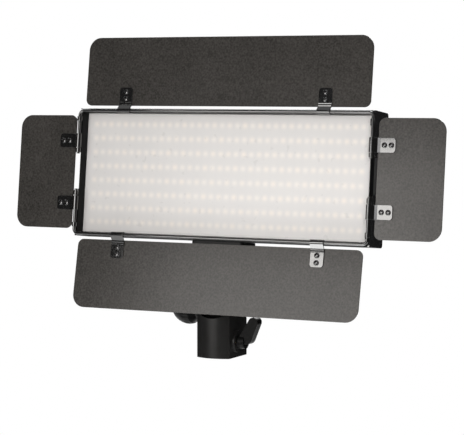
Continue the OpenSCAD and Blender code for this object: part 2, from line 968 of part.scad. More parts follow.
module rocker_case() {
    color("#101012") on_head() translate([rocker_x, box_back, switch_z]) difference() {
        span_box([-8.4, -8, -6.6], [8.4, -box_wall - gap, 6.6]);
        span_box([-6.15, -7, -5.6], [6.15, 0, 5.6]);
        translate([0, -rocker_axle, 0]) x_rod(1.2 + gap, -9, 9);
    }
}

module mode_button() {
    color("#e0e0e0") on_head() translate([button_x, 0, switch_z]) {
        y_rod(button_r, box_back - 3.5, box_back + 1.6);
        y_rod(button_r + 0.9, box_back - 3.5, box_back - 2.6);
    }
}

// Battery plate: base, two undercut side rails, a top stop and a pocket for the latch
module battery_plate(s) {
    rail_y = plate_y + plate_t;
    on_head() translate([s * plate_x, 0, 0]) difference() {
        union() {
            y_plate(plate_y, rail_y) round_outline(plate_w, plate_h, 3);
            for (t = [-1, 1]) {
                span_box([t > 0 ? plate_w / 2 - 3 : -plate_w / 2, rail_y - eps, -20],
                         [t > 0 ? plate_w / 2 : -plate_w / 2 + 3, rail_y + 4, 32]);
                span_box([t > 0 ? plate_w / 2 - 5 : -plate_w / 2, rail_y + 2.4, -20],
                         [t > 0 ? plate_w / 2 : -plate_w / 2 + 5, rail_y + 4, 32]);
            }
            span_box([-8, rail_y - eps, 29], [8, rail_y + 3, 33]);
        }
        span_box([-6.2, rail_y - 3.2, latch_z - 4.2], [6.2, rail_y + 1, latch_z + 7.2]);
        for (t = [-1, 0, 1]) {
            span_box([t * 8 - 1.6, rail_y - 1, 8], [t * 8 + 1.6, rail_y + 1, 22]);
        }
    }
}

module left_battery_plate() {
    color("#1a1a1c") battery_plate(-1);
}

module right_battery_plate() {
    color("#1a1a1c") battery_plate(1);
}

module battery_contacts() {
    color("goldenrod") on_head() for (s = [-1, 1], t = [-1, 0, 1]) {
        translate([s * plate_x + t * 8, plate_y + plate_t, 0])
            span_box([-1.4, -0.9, 8.4], [1.4, 0.4, 21.6]);
    }
}

module battery_latch(s) {
    rail_y = plate_y + plate_t;
    on_head() translate([s * plate_x, rail_y, latch_z]) difference() {
        union() {
            span_box([-6, -3, -4], [6, -0.2, 4]);
            span_box([-5, -0.3, -3.4], [5, 1.6, 2.6]);
        }
        for (z = [-2.4:1.6:1.6]) {
            span_box([-6, 1.1, z - 0.3], [6, 2, z + 0.3]);
        }
    }
}

module left_battery_latch() {
    color("#b0302a") battery_latch(-1);
}

module right_battery_latch() {
    color("#b0302a") battery_latch(1);
}

stand_socket();
tilt_bolt();
friction_washers();
lock_insert();
stand_lock_lever();
stand_lock_screw();
tilt_knob();
tilt_knob_insert();
tilt_hub();
mount_stud();
lock_wheel();
mount_pad();
mount_foot();
foot_screws();
front_frame();
back_cover();
left_cap();
right_cap();
diffuser();
led_board();
warm_leds();
cool_leds();
board_screws();
top_left_bracket();
top_right_bracket();
bottom_left_bracket();
bottom_right_bracket();
bracket_screws();
top_wire();
bottom_wire();
control_box();
control_board();
box_screws();
display_window();
display_module();
power_jack();
encoders();
brightness_knob();
colour_knob();
power_rocker();
rocker_case();
mode_button();
left_battery_plate();
right_battery_plate();
battery_contacts();
left_battery_latch();
right_battery_latch();
top_door();
top_door_clips();
top_door_screws();
bottom_door();
bottom_door_clips();
bottom_door_screws();
left_door();
left_door_clips();
left_door_screws();
right_door();
right_door_clips();
right_door_screws();
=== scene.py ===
# LED panel light with four barn doors on a tilting stand adapter: materials, rounded edges,
# bent-strap hinge clips, screws and the studio it stands in. Everything is in metres, in the
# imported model's own frame: origin in the mouth of the stand socket, Z up, light towards -Y.
import json
import math

import bmesh
import bpy
from mathutils import Matrix, Vector


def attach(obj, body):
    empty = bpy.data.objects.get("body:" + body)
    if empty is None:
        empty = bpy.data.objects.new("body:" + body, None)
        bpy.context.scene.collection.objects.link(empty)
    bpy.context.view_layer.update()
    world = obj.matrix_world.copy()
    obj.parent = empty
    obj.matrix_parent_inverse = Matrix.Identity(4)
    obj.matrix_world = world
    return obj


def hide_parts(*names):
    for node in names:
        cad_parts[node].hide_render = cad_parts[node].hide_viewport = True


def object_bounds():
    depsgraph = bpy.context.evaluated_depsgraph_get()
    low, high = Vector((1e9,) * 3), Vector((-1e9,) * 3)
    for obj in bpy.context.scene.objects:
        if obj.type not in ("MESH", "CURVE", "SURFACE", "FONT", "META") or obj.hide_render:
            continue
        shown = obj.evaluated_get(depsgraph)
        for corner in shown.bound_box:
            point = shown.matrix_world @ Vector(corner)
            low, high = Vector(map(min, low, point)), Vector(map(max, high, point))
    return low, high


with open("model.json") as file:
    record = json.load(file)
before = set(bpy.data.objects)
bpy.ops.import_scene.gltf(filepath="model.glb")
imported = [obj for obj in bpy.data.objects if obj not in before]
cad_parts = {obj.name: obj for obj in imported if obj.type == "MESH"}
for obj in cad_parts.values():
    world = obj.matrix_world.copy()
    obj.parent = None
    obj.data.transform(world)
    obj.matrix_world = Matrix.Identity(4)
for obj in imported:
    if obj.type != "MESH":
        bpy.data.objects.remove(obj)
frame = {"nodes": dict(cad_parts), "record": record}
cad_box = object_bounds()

MM = 0.001
NODES = frame["nodes"]
BODIES = frame["record"]["behaviour"]["bodies"]
BODY_OF = {node: body for body, members in BODIES.items() for node in members}

# ---------------------------------------------------------------- frames of the design


def shift(x, y, z):
    return Matrix.Translation(Vector((x, y, z)) * MM)


def turn(degrees, axis):
    return Matrix.Rotation(math.radians(degrees), 4, axis)


# Millimetres and degrees, as in the CAD source. HEAD is the frame in the middle of the hinge
# wires, and each door's frame lies on its wire with Z along the door, away from the panel.
TILT_AXIS_Z = 44
HEAD_LEAN = 6.5
WIRES_BEFORE_AXIS = 17.3
WIRES_ABOVE_AXIS = 120.5
WIRE_HALF_W = 149
WIRE_HALF_H = 57.75
WIRE_R = 1.5
DOOR_TURN = {"top": -1.3, "bottom": -5.0, "left": -2.4, "right": -1.7}
HEAD = (shift(0, 0, TILT_AXIS_Z) @ turn(-HEAD_LEAN, "X")
        @ shift(0, -WIRES_BEFORE_AXIS, WIRES_ABOVE_AXIS))
HINGES = {
    "top": HEAD @ shift(0, 0, WIRE_HALF_H) @ turn(DOOR_TURN["top"], "X"),
    "bottom": HEAD @ shift(0, 0, -WIRE_HALF_H) @ turn(DOOR_TURN["bottom"], "X") @ turn(180, "Y"),
    "left": HEAD @ shift(-WIRE_HALF_W, 0, 0) @ turn(DOOR_TURN["left"], "Z") @ turn(-90, "Y"),
    "right": HEAD @ shift(WIRE_HALF_W, 0, 0) @ turn(DOOR_TURN["right"], "Z") @ turn(90, "Y"),
}

# ---------------------------------------------------------------- camera

# Degrees, metres and millimetres of lens. The camera's aim lies CAMERA_RIGHT and CAMERA_UP,
# as the camera sees them, from the middle of the hinge wires.
CAMERA_AZIMUTH = 26.889
CAMERA_HEIGHT_ANGLE = 3.918
CAMERA_DISTANCE = 1.774862
CAMERA_RIGHT = 0.01256
CAMERA_UP = -0.038626
CAMERA_LENS = 152.2
SENSOR_WIDTH = 36
CAMERA_NEAR = 0.05
CAMERA_FAR = 60


def add_camera():
    """The camera stands to the panel's right, a little above it, and has a long lens."""
    az, el = math.radians(CAMERA_AZIMUTH), math.radians(CAMERA_HEIGHT_ANGLE)
    back = Vector((math.sin(az) * math.cos(el), -math.cos(az) * math.cos(el), math.sin(el)))
    right = Vector((math.cos(az), math.sin(az), 0))
    up = back.cross(right)
    data = bpy.data.cameras.new("camera")
    data.lens = CAMERA_LENS
    data.sensor_width = SENSOR_WIDTH
    data.clip_start = CAMERA_NEAR
    data.clip_end = CAMERA_FAR
    camera = bpy.data.objects.new("camera", data)
    bpy.context.scene.collection.objects.link(camera)
    place = HEAD.translation + back * CAMERA_DISTANCE + right * CAMERA_RIGHT + up * CAMERA_UP
    axes = Matrix((right, up, back)).transposed().to_4x4()
    camera.matrix_world = Matrix.Translation(place) @ axes
    bpy.context.scene.camera = camera


add_camera()

# ---------------------------------------------------------------- material nodes

NOISE_BAND = (0.3, 0.7)  # the part of a noise's range that it is nearly always in
EDGE_BEND = (0.004, 0.08)  # 1 less the cosine between a face and its bevelled normal: none, full
EDGE_PATCH_MM = 3.0


class Finish:
    """A principled material whose colour, roughness and relief come from noise in object space."""

    def __init__(self, name, roughness=0.5, metallic=0.0, specular=0.5, coat=0.0,
                 coat_roughness=0.1):
        self.material = bpy.data.materials.new(name)
        self.material.use_nodes = True
        self.tree = self.material.node_tree
        self.tree.nodes.clear()
        output = self.tree.nodes.new("ShaderNodeOutputMaterial")
        self.shader = self.tree.nodes.new("ShaderNodeBsdfPrincipled")
        self.tree.links.new(self.shader.outputs["BSDF"], output.inputs["Surface"])
        self.shader.inputs["Roughness"].default_value = roughness
        self.shader.inputs["Metallic"].default_value = metallic
        self.shader.inputs["Specular IOR Level"].default_value = specular
        self.shader.inputs["Coat Weight"].default_value = coat
        self.shader.inputs["Coat Roughness"].default_value = coat_roughness
        coordinates = self.tree.nodes.new("ShaderNodeTexCoord")
        self.place = coordinates.outputs["Object"]
        self.relief = None

    def set(self, socket, value):
        if isinstance(value, bpy.types.NodeSocket):
            self.tree.links.new(value, socket)
        else:
            socket.default_value = value

    def math(self, operation, a, b=None, c=None):
        node = self.tree.nodes.new("ShaderNodeMath")
        node.operation = operation
        for socket, value in zip(node.inputs, (a, b, c)):
            if value is not None:
                self.set(socket, value)
        return node.outputs[0]

    def noise(self, size_mm, detail=2.0, distortion=0.0, stretch=None):
        """Noise from 0 to 1 whose blobs are about size_mm across; stretch scales X, Y and Z."""
        node = self.tree.nodes.new("ShaderNodeTexNoise")
        node.inputs["Scale"].default_value = 1 / (size_mm * MM)
        node.inputs["Detail"].default_value = detail
        node.inputs["Distortion"].default_value = distortion
        vector = self.place
        if stretch:
            mapping = self.tree.nodes.new("ShaderNodeMapping")
            mapping.inputs["Scale"].default_value = stretch
            self.tree.links.new(self.place, mapping.inputs["Vector"])
            vector = mapping.outputs["Vector"]
        self.tree.links.new(vector, node.inputs["Vector"])
        return node.outputs["Fac"]

    def span(self, value, low, high, from_low=0.0, from_high=1.0):
        """value moved from one range to another, and held inside it."""
        node = self.tree.nodes.new("ShaderNodeMapRange")
        node.inputs["From Min"].default_value = from_low
        node.inputs["From Max"].default_value = from_high
        node.inputs["To Min"].default_value = low
        node.inputs["To Max"].default_value = high
        self.tree.links.new(value, node.inputs["Value"])
        return node.outputs["Result"]

    def mix(self, factor, a, b):
        node = self.tree.nodes.new("ShaderNodeMix")
        node.data_type = "RGBA"
        self.set(node.inputs["Factor"], factor)
        for name, value in (("A", a), ("B", b)):
            socket = next(s for s in node.inputs if s.name == name and s.type == "RGBA")
            self.set(socket, value if isinstance(value, bpy.types.NodeSocket) else (*value, 1))
        return next(s for s in node.outputs if s.type == "RGBA")

    def bump(self, height, depth_mm, strength=1.0):
        node = self.tree.nodes.new("ShaderNodeBump")
        node.inputs["Distance"].default_value = depth_mm * MM
        node.inputs["Strength"].default_value = strength
        self.tree.links.new(height, node.inputs["Height"])
        if self.relief is not None:
            self.tree.links.new(self.relief, node.inputs["Normal"])
        self.relief = node.outputs["Normal"]
        self.tree.links.new(self.relief, self.shader.inputs["Normal"])

    def edge(self, radius_mm):
        """1 along sharp edges and 0 on open faces, broken up by a patchy noise."""
        bevel = self.tree.nodes.new("ShaderNodeBevel")
        bevel.samples = 4
        bevel.inputs["Radius"].default_value = radius_mm * MM
        geometry = self.tree.nodes.new("ShaderNodeNewGeometry")
        dot = self.tree.nodes.new("ShaderNodeVectorMath")
        dot.operation = "DOT_PRODUCT"
        self.tree.links.new(bevel.outputs["Normal"], dot.inputs[0])
        self.tree.links.new(geometry.outputs["Normal"], dot.inputs[1])
        bend = self.math("SUBTRACT", 1.0, dot.outputs["Value"])
        patches = self.span(self.noise(EDGE_PATCH_MM, 3.0), 0.1, 1.0, 0.4, 0.62)
        return self.math("MULTIPLY", self.span(bend, 0.0, 1.0, *EDGE_BEND), patches)


def blend_of(f, fine, coarse, fine_share):
    """A fine and a coarse noise added up, from 0 to 1."""
    return f.math("ADD", f.math("MULTIPLY", fine, fine_share),
                  f.math("MULTIPLY", coarse, 1 - fine_share))


def painted(name, dark, light, worn, roughness, grain_mm, grain_depth, patch_mm=40, wear=0.6,
            specular=0.5, metallic=0.0, coat=0.0, coat_roughness=0.1):
    """Paint, moulding or plate: two close tones, fine grain, uneven gloss and worn edges."""
    edge_mm, edge_roughness, grain_share, gloss_patch = 0.5, 0.08, 0.55, 0.3
    f = Finish(name, metallic=metallic, specular=specular, coat=coat, coat_roughness=coat_roughness)
    grain = f.noise(grain_mm, 3.0)
    patches = f.noise(patch_mm, 4.0, 0.4)
    tone = blend_of(f, f.span(grain, 0, 1, *NOISE_BAND), f.span(patches, 0, 1, *NOISE_BAND),
                    grain_share)
    colour = f.mix(tone, dark, light)
    edges = f.math("MULTIPLY", f.edge(edge_mm), wear)
    f.set(f.shader.inputs["Base Color"], f.mix(edges, colour, worn))
    gloss = f.span(f.noise(patch_mm * gloss_patch, 4.0), *roughness, *NOISE_BAND)
    scuffs = f.math("MULTIPLY", edges, edge_roughness)
    f.set(f.shader.inputs["Roughness"], f.math("ADD", gloss, scuffs))
    f.bump(grain, grain_depth)
    return f.material


def grey(value, warm=0.0):
    """A grey of that linear brightness, a little warmer (or cooler, below zero)."""
    return (value * (1 + warm), value, value * (1 - warm))


def powder_coat():
    """Charcoal powder coat: a fine speckle, a slightly uneven gloss and paler edges."""
    grain_mm, grain_depth, grain_share, warm, edge_share = 1.7, 0.03, 0.75, 0.07, 0.35
    f = Finish("charcoal_powder_coat", specular=0.225)
    grain = f.noise(grain_mm, 2.0)
    clouds = f.noise(45, 4.0)
    speckle = blend_of(f, f.span(grain, 0, 1, 0.32, 0.68), f.span(clouds, 0, 1, *NOISE_BAND),
                       grain_share)
    colour = f.mix(speckle, grey(0.019, warm), grey(0.051, warm))
    edges = f.math("MULTIPLY", f.edge(0.5), edge_share)
    f.set(f.shader.inputs["Base Color"], f.mix(edges, colour, grey(0.05, 0.03)))
    f.set(f.shader.inputs["Roughness"], f.span(f.noise(50, 3.0), 0.205, 0.225, *NOISE_BAND))
    f.bump(grain, grain_depth)
    return f.material


LED_GRID = (("X", 7.78, 36, 2.9), ("Z", 13.07, 8, 2.6))  # axis, pitch, count, a dot's blur in mm
DOT_COOL, DOT_WARM = (0.67, 0.638, 0.60), (0.69, 0.632, 0.575)
SHEET_DARK, SHEET_LIGHT = (0.525, 0.515, 0.513), (0.545, 0.533, 0.527)


def opal_material():
    """Opal sheet with the LEDs behind it showing as soft dots, warm and cool by turns."""
    parity_share, chance_share, dot_strength = 0.45, 0.5, (0.7, 0.8)
    f = Finish("opal_diffuser", roughness=0.3, specular=0.55)
    to_head = f.tree.nodes.new("ShaderNodeMapping")
    inverse = HEAD.inverted()
    to_head.inputs["Location"].default_value = inverse.translation
    to_head.inputs["Rotation"].default_value = inverse.to_euler()
    f.tree.links.new(f.place, to_head.inputs["Vector"])
    split = f.tree.nodes.new("ShaderNodeSeparateXYZ")
    f.tree.links.new(to_head.outputs["Vector"], split.inputs["Vector"])
    squares, cells, inside = [], [], []
    for axis, pitch, count, blur in LED_GRID:
        along = f.math("DIVIDE", split.outputs[axis], pitch * MM)
        cells.append(f.math("FLOOR", along))
        from_middle = f.math("SUBTRACT", f.math("FRACT", along), 0.5)
        off = f.math("MULTIPLY", from_middle, pitch / blur)
        squares.append(f.math("MULTIPLY", off, off))
        inside.append(f.math("LESS_THAN", f.math("ABSOLUTE", along), count / 2))
    spread = f.math("MULTIPLY", f.math("ADD", squares[0], squares[1]), -1.0)
    dot = f.math("MULTIPLY", f.math("EXPONENT", spread), f.math("MULTIPLY", inside[0], inside[1]))
    parity = f.math("PINGPONG", f.math("ADD", cells[0], cells[1]), 1.0)
    number = f.tree.nodes.new("ShaderNodeCombineXYZ")
    f.tree.links.new(cells[0], number.inputs["X"])
    f.tree.links.new(cells[1], number.inputs["Y"])
    chance = f.tree.nodes.new("ShaderNodeTexWhiteNoise")
    f.tree.links.new(number.outputs["Vector"], chance.inputs["Vector"])
    warmth = f.math("ADD", f.math("MULTIPLY", parity, parity_share),
                    f.math("MULTIPLY", chance.outputs["Value"], chance_share))
    dot_colour = f.mix(warmth, DOT_COOL, DOT_WARM)
    clouds = f.span(f.noise(30, 3.0), 0.0, 1.0, *NOISE_BAND)
    sheet = f.mix(clouds, SHEET_DARK, SHEET_LIGHT)
    strength = f.math("MULTIPLY", dot, f.span(chance.outputs["Value"], *dot_strength))
    f.set(f.shader.inputs["Base Color"], f.mix(strength, sheet, dot_colour))
    f.set(f.shader.inputs["Roughness"], f.span(f.noise(6, 4.0), 0.27, 0.32, *NOISE_BAND))
    f.bump(f.noise(0.5, 2.0), 0.01)
    f.bump(f.noise(90, 1.0), 0.25, 0.4)
    return f.material


def window_material():
    """Dark smoked acrylic in front of the display."""
    f = Finish("smoked_window", roughness=0.06, specular=0.6, coat=0.3, coat_roughness=0.03)
    tint = f.mix(f.noise(12, 3.0), (0.006, 0.008, 0.011), (0.011, 0.013, 0.016))
    f.set(f.shader.inputs["Base Color"], tint)
    f.set(f.shader.inputs["Roughness"], f.span(f.noise(4, 5.0), 0.04, 0.11, 0.35, 0.65))
    f.bump(f.noise(25, 1.0), 0.02)
    return f.material


def metal(name, tone, tint, roughness, brushed=(1, 1, 1)):
    """Bare metal with fine turning or rolling marks, drawn out where brushed is under 1."""
    darkest, palest = 0.86, 1.08
    f = Finish(name, metallic=1.0)
    marks = f.noise(0.5, 3.0, 0.0, brushed)
    low = tuple(tone * darkest * c for c in tint)
    high = tuple(min(1.0, tone * palest * c) for c in tint)
    colour = f.mix(f.span(marks, 0, 1, 0.35, 0.65), low, high)
    edges = f.math("MULTIPLY", f.edge(0.3), 0.5)
    f.set(f.shader.inputs["Base Color"], f.mix(edges, colour, high))
    f.set(f.shader.inputs["Roughness"], f.span(f.noise(3, 4.0), *roughness, *NOISE_BAND))
    f.bump(marks, 0.006)
    return f.material


def board_material():
    """Green solder mask over copper tracks that run in straight lines."""
    track_pitch, track_width = 0.0012, 0.0003
    f = Finish("green_board", specular=0.5, coat=0.3)
    split = f.tree.nodes.new("ShaderNodeSeparateXYZ")
    f.tree.links.new(f.place, split.inputs["Vector"])
    across = f.math("ADD", split.outputs["X"], split.outputs["Z"])
    tracks = f.math("LESS_THAN", f.math("PINGPONG", across, track_pitch), track_width)
    where = f.math("GREATER_THAN", f.noise(14, 1.0), 0.52)
    lines = f.math("MULTIPLY", tracks, where)
    base = f.mix(f.noise(20, 3.0), (0.010, 0.085, 0.032), (0.016, 0.11, 0.045))
    f.set(f.shader.inputs["Base Color"], f.mix(lines, base, (0.04, 0.19, 0.075)))
    f.set(f.shader.inputs["Roughness"], f.span(f.noise(5, 3.0), 0.3, 0.45))
    f.bump(lines, 0.03)
    return f.material


def lens_material(name, base, centre):
    """An LED's phosphor: a tinted gel with a slightly uneven fill."""
    f = Finish(name, specular=0.6, coat=0.5, coat_roughness=0.05)
    f.set(f.shader.inputs["Base Color"], f.mix(f.noise(1.2, 2.0), base, centre))
    f.set(f.shader.inputs["Roughness"], f.span(f.noise(2, 3.0), 0.25, 0.5))
    f.bump(f.noise(0.6, 2.0), 0.02)
    return f.material


# One finish for each of the record's material slots.
FINISHES = {
    "door_paint": powder_coat(),
    "body_paint": painted(
        "black_powder_coat", grey(0.003), grey(0.006), grey(0.02), (0.34, 0.42), 0.5, 0.02,
        specular=0.12),
    "gloss_black_steel": painted(
        "gloss_black_lacquer", grey(0.004), grey(0.008), grey(0.05), (0.08, 0.14), 0.9, 0.004,
        30, 0.25, specular=1.0, coat=0.5, coat_roughness=0.05),
    "black_plastic": painted(
        "satin_black_moulding", grey(0.006), grey(0.010, 0.04), grey(0.02), (0.28, 0.36), 0.35,
        0.012, 25, 0.3, specular=0.2),
    "cap_grey": painted(
        "grey_anodised_cap", grey(0.13), grey(0.19), grey(0.4), (0.32, 0.45), 0.4, 0.008,
        metallic=0.6),
    # Also put in every screw's cross recess, where it is painted shade.
    "rubber_black": painted(
        "black_rubber_and_recess_shade", grey(0.012), grey(0.02), grey(0.03), (0.7, 0.85), 0.6, 0.03),
    "steel": metal("bright_steel", 0.55, (1.0, 0.98, 0.95), (0.22, 0.36)),
    "brass": metal("brass", 0.62, (1.0, 0.76, 0.38), (0.25, 0.4)),
    "contact_gold": metal("gold_plate", 0.8, (1.0, 0.78, 0.36), (0.18, 0.3), (1, 1, 0.2)),
    "opal": opal_material(),
    "board_white": painted(
        "white_solder_mask", grey(0.72), grey(0.8), grey(0.85), (0.35, 0.5), 1.2, 0.01),
    "board_green": board_material(),
    "led_warm": lens_material("warm_phosphor", (0.85, 0.50, 0.16), (0.95, 0.66, 0.28)),
    "led_cool": lens_material("cool_phosphor", (0.80, 0.76, 0.35), (0.92, 0.90, 0.55)),
    "window_dark": window_material(),
    "display_grey": painted(
        "display_glass", grey(0.10, -0.06), grey(0.13, -0.06), grey(0.2), (0.2, 0.3), 2, 0.004),
    "latch_red": painted(
        "red_moulding", (0.30, 0.018, 0.014), (0.38, 0.03, 0.022), (0.55, 0.10, 0.08),
        (0.35, 0.48), 0.4, 0.015, 12, 0.35),
    "button_grey": painted(
        "light_grey_moulding", grey(0.42), grey(0.5), grey(0.6), (0.4, 0.5), 0.4, 0.015),
}
# Finishes that some pieces take instead of their slot's own.
REAR_PAINT = painted(
    "black_powder_coat_rear", grey(0.012), grey(0.022), grey(0.07), (0.36, 0.48), 0.5, 0.03)
REAR_PLASTIC = painted(
    "satin_black_box", grey(0.010), grey(0.017, 0.04), grey(0.05), (0.32, 0.42), 0.35, 0.012,
    25, 0.4)
GRIP = painted(
    "satin_black_grip", grey(0.003), grey(0.005), grey(0.015), (0.3, 0.4), 0.35, 0.012, 25, 0.3,
    specular=0.07)
BLACK_NICKEL = metal("black_nickel", 0.20, (1.0, 0.98, 0.97), (0.14, 0.24))


def slot_of(node):
    """The record's slot for a node, which is the name of its packed material."""
    return NODES[node].material_slots[0].material.name.split(".")[0]


SLOTS = {node: slot_of(node) for node in NODES}
for name, obj in NODES.items():
    obj.material_slots[0].material = FINISHES[SLOTS[name]]

# ---------------------------------------------------------------- piece making


def add_piece(name, mesh, node, material=None):
    """Puts a mesh in the scene as a piece that stands for a CAD node, on that node's body."""
    body, slot = BODY_OF[node], SLOTS[node]
    obj = bpy.data.objects.new(name, mesh)
    bpy.context.scene.collection.objects.link(obj)
    mesh.materials.clear()
    mesh.materials.append(material or FINISHES[slot])
    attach(obj, body)
    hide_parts(node)
    return obj


SHARP_PIECE = 42  # degrees; a sharper edge than this keeps its crease
SHARP_SCREW = 35


def soften(obj, sharp_degrees=SHARP_PIECE):
    """Smooth shading that keeps flat faces flat."""
    obj.data.shade_smooth()
    obj.data.set_sharp_from_angle(angle=math.radians(sharp_degrees))
    normals = obj.modifiers.new("flat faces", "WEIGHTED_NORMAL")
    normals.keep_sharp = True
    normals.weight = 100


MERGE = 2e-6  # metres
COPLANAR = math.radians(0.4)
SHARP_EDGE = math.radians(32)


def rounded(node, radius_mm, material=None):
    """A copy of a CAD node whose sharp edges are rounded off, standing for that node."""
    bm = bmesh.new()
    bm.from_mesh(NODES[node].data)
    bmesh.ops.remove_doubles(bm, verts=bm.verts, dist=MERGE)
    bmesh.ops.dissolve_limit(bm, angle_limit=COPLANAR, verts=bm.verts, edges=bm.edges)
    bmesh.ops.dissolve_degenerate(bm, dist=MERGE, edges=bm.edges)
    edges = [e for e in bm.edges
             if len(e.link_faces) == 2 and e.calc_face_angle(0) > SHARP_EDGE]
    bmesh.ops.bevel(bm, geom=edges, offset=radius_mm * MM, offset_type="OFFSET", segments=2,
                    profile=0.5, affect="EDGES", clamp_overlap=True)
    mesh = bpy.data.meshes.new(node + "_rounded")
    bm.to_mesh(mesh)
    bm.free()
    soften(add_piece(mesh.name, mesh, node, material))


# The CAD nodes whose edges are rounded, with the radius in millimetres.
ROUNDED = {
    "top_door": 0.25, "bottom_door": 0.25, "left_door": 0.25, "right_door": 0.25,
    "front_frame": 0.3, "back_cover": 0.25, "left_cap": 0.3, "right_cap": 0.3,
    "top_left_bracket": 0.25, "top_right_bracket": 0.25,
    "bottom_left_bracket": 0.25, "bottom_right_bracket": 0.25,
    "stand_socket": 0.5, "tilt_hub": 0.4, "stand_lock_lever": 3.0, "tilt_knob": 0.35,
    "lock_wheel": 0.3, "mount_pad": 0.3, "mount_foot": 0.5,
    "control_box": 0.5, "brightness_knob": 0.3, "colour_knob": 0.3, "power_rocker": 0.2,
    "rocker_case": 0.15, "mode_button": 0.25, "power_jack": 0.2, "display_window": 0.12,
    "left_battery_plate": 0.3, "right_battery_plate": 0.3, "left_battery_latch": 0.15,
    "right_battery_latch": 0.15, "battery_contacts": 0.1,
}
# The nodes among them whose finish is not their slot's own.
SPECIAL = {
    "stand_lock_lever": GRIP, "tilt_knob": GRIP, "back_cover": REAR_PAINT,
    "control_box": REAR_PLASTIC, "brightness_knob": REAR_PLASTIC, "colour_knob": REAR_PLASTIC,
    "left_battery_plate": REAR_PLASTIC, "right_battery_plate": REAR_PLASTIC,
}
for name, radius in ROUNDED.items():
    rounded(name, radius, SPECIAL.get(name))

# ---------------------------------------------------------------- hinge clips

# Millimetres in a door's frame: the wire is at Y 0 and Z 0, and the door runs along Z.
CLIP_W = 13
CLIP_T = 1.1
CLIP_END = 21.6
CLIP_CORNER = 2.5
CLIP_MID_Y = 2.15
STRAP_EDGE_R = 0.18
WIRE_GAP = 0.05
CURL_R = WIRE_R + WIRE_GAP + CLIP_T / 2
CURL_SWEEP = 285
# The strap's bends from the pad to the wire, each as its corner (Y, Z) and its radius.
PLAIN_BENDS = [((CLIP_MID_Y, 7.3), 0.9), ((1.45, 4.6), 1.2)]
RIBBED_BENDS = [((CLIP_MID_Y, 8.6), 0.6), ((1.8, 8.15), 0.6), ((1.94, 7.15), 0.6),
                ((1.42, 6.1), 0.6), ((1.56, 5.0), 0.6)]
CLIP_X = {"top": 101.5, "bottom": 101.5, "left": 29.3, "right": 29.3}
CLIP_SCREW_Z = [11.3, 17.8]


def bend_points(corner, before, after, radius, steps=6):
    """The corner of a path from before to after, taken round an arc of that radius."""
    a, b = (before - corner).normalized(), (after - corner).normalized()
    half = a.angle(b) / 2
    reach = radius / math.tan(half)
    centre = corner + (a + b).normalized() * (radius / math.sin(half))
    start, end = corner + a * reach - centre, corner + b * reach - centre
    whole = start.angle(end)

    def on_arc(t):
        mixed = start * math.sin(whole * (1 - t)) + end * math.sin(whole * t)
        return centre + mixed / math.sin(whole)

    return [on_arc(i / steps) for i in range(steps + 1)]


def clip_path(bends):
    """The strap's middle line in Y and Z: pad, bends, slope over the wire's front, and curl."""
    corners = [Vector(corner) for corner, radius in bends]
    radii = [radius for corner, radius in bends]
    inner = corners[-1]
    slope = math.atan2(inner.x, inner.y) + math.asin(CURL_R / inner.length)
    touch = Vector((-CURL_R * math.cos(slope), CURL_R * math.sin(slope)))
    steps = 8
    fall = [CLIP_CORNER * (1 - math.cos(math.pi / 2 * i / steps)) for i in range(steps + 1)]
    pad = [Vector((CLIP_MID_Y, CLIP_END - down)) for down in fall]
    stops = [pad[-1]] + corners + [touch]
    bend = []
    for before, corner, after, radius in zip(stops, corners, stops[2:], radii):
        bend += bend_points(corner, before, after, radius)
    turns = 40
    start = math.pi - slope
    curl = [Vector((math.cos(start + s), math.sin(start + s))) * CURL_R
            for s in (math.radians(CURL_SWEEP) * i / turns for i in range(turns + 1))]
    return pad + bend + curl


def clip_half_width(z):
    """Half of the strap's width: full, and rounded off at the pad's two outer corners."""
    over = max(0.0, z - (CLIP_END - CLIP_CORNER))
    return CLIP_W / 2 - CLIP_CORNER + math.sqrt(max(0.0, CLIP_CORNER ** 2 - over ** 2))


def rounded_section(half_w, half_t, r, steps=3):
    """Points of a rounded rectangle, anticlockwise."""
    points = []
    for sx, sy, a0 in ((1, 1, 0), (-1, 1, 90), (-1, -1, 180), (1, -1, 270)):
        x, y = sx * (half_w - r), sy * (half_t - r)
        for i in range(steps + 1):
            a = math.radians(a0 + 90 * i / steps)
            points.append((x + r * math.cos(a), y + r * math.sin(a)))
    return points


def strap_mesh(path, half_width, thickness):
    """A strap of sheet swept along a path in Y and Z, as wide in X as half_width says."""
    bm = bmesh.new()
    rings = []
    for i, p in enumerate(path):
        along = (path[min(i + 1, len(path) - 1)] - path[max(i - 1, 0)]).normalized()
        across = Vector((along.y, -along.x))
        ring = [bm.verts.new((x * MM, (p.x + across.x * t) * MM, (p.y + across.y * t) * MM))
                for x, t in rounded_section(half_width(p.y), thickness / 2, STRAP_EDGE_R)]
        rings.append(ring)
    for a, b in zip(rings, rings[1:]):
        for j in range(len(a)):
            k = (j + 1) % len(a)
            bm.faces.new((a[j], a[k], b[k], b[j]))
    bm.faces.new(rings[0])
    bm.faces.new(list(reversed(rings[-1])))
    bmesh.ops.recalc_face_normals(bm, faces=bm.faces)
    return bm


def copies(bm, places, name):
    """One mesh that holds the shape once at each place."""
    shape = bpy.data.meshes.new(name + "_one")
    bm.to_mesh(shape)
    bm.free()
    joined = bmesh.new()
    for place in places:
        single = shape.copy()
        single.transform(place)
        joined.from_mesh(single)
        bpy.data.meshes.remove(single)
    mesh = bpy.data.meshes.new(name)
    joined.to_mesh(mesh)
    joined.free()
    bpy.data.meshes.remove(shape)
    return mesh


for side, hinge in HINGES.items():
    places = [hinge @ shift(s * CLIP_X[side], 0, 0) for s in (-1, 1)]
    path = clip_path(RIBBED_BENDS if side in ("top", "bottom") else PLAIN_BENDS)
    mesh = copies(strap_mesh(path, clip_half_width, CLIP_T), places, side + "_hinge_clips")
    soften(add_piece(mesh.name, mesh, side + "_door_clips"))

# ---------------------------------------------------------------- screws

